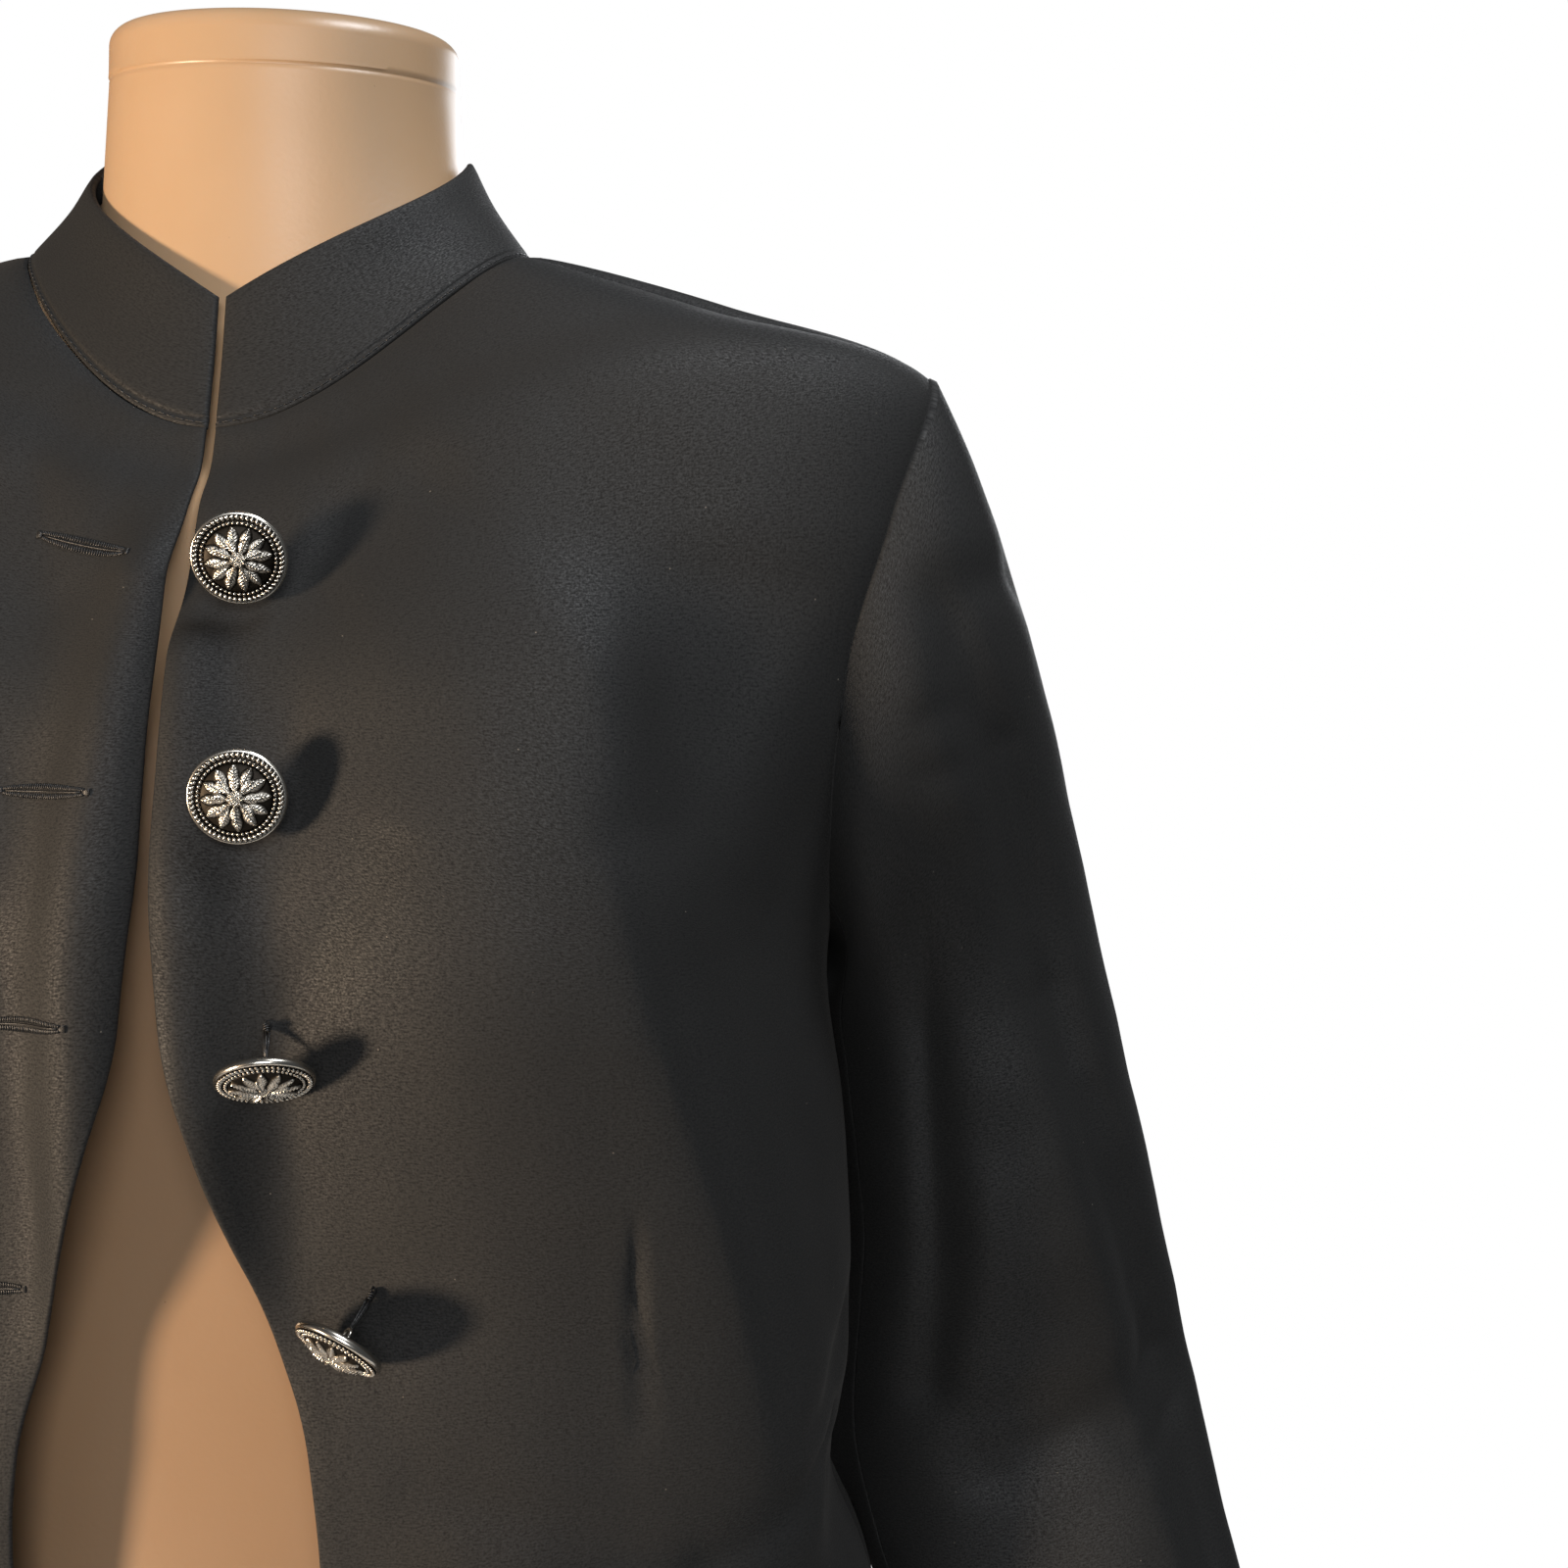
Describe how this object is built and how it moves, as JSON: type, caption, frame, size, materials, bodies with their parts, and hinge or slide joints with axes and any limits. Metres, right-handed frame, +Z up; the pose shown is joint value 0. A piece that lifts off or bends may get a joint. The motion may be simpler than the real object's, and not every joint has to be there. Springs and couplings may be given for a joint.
{
  "type": "blazer on a limbless dress form",
  "caption": "Fitted long-sleeved jacket with a stand collar, worn open on a neck-and-torso form that stands on its flat base.",
  "frame": {"origin": "centre of the dress form's flat base, under the axis of its neck", "axes": "+Z up along the neck, the garment faces -Y, +X is the wearer's left"},
  "size_m": [0.6666, 0.2726, 0.7709],
  "materials": {
    "suiting": "fine smooth-faced suiting, black to charcoal, soft sheen",
    "button_metal": "antiqued nickel plate, bright on the high relief and dark in the recesses",
    "form_plastic": "moulded plastic, warm tan, satin gloss"
  },
  "bodies": {
    "root": {"dress_form": "form_plastic", "front_left": "suiting", "front_right": "suiting", "back": "suiting", "collar": "suiting", "top_sleeve_left": "suiting", "top_sleeve_right": "suiting", "under_sleeve_left": "suiting", "under_sleeve_right": "suiting", "button_1": "button_metal", "button_2": "button_metal", "button_3": "button_metal", "button_4": "button_metal", "button_5": "button_metal"}
  },
  "joints": []
}
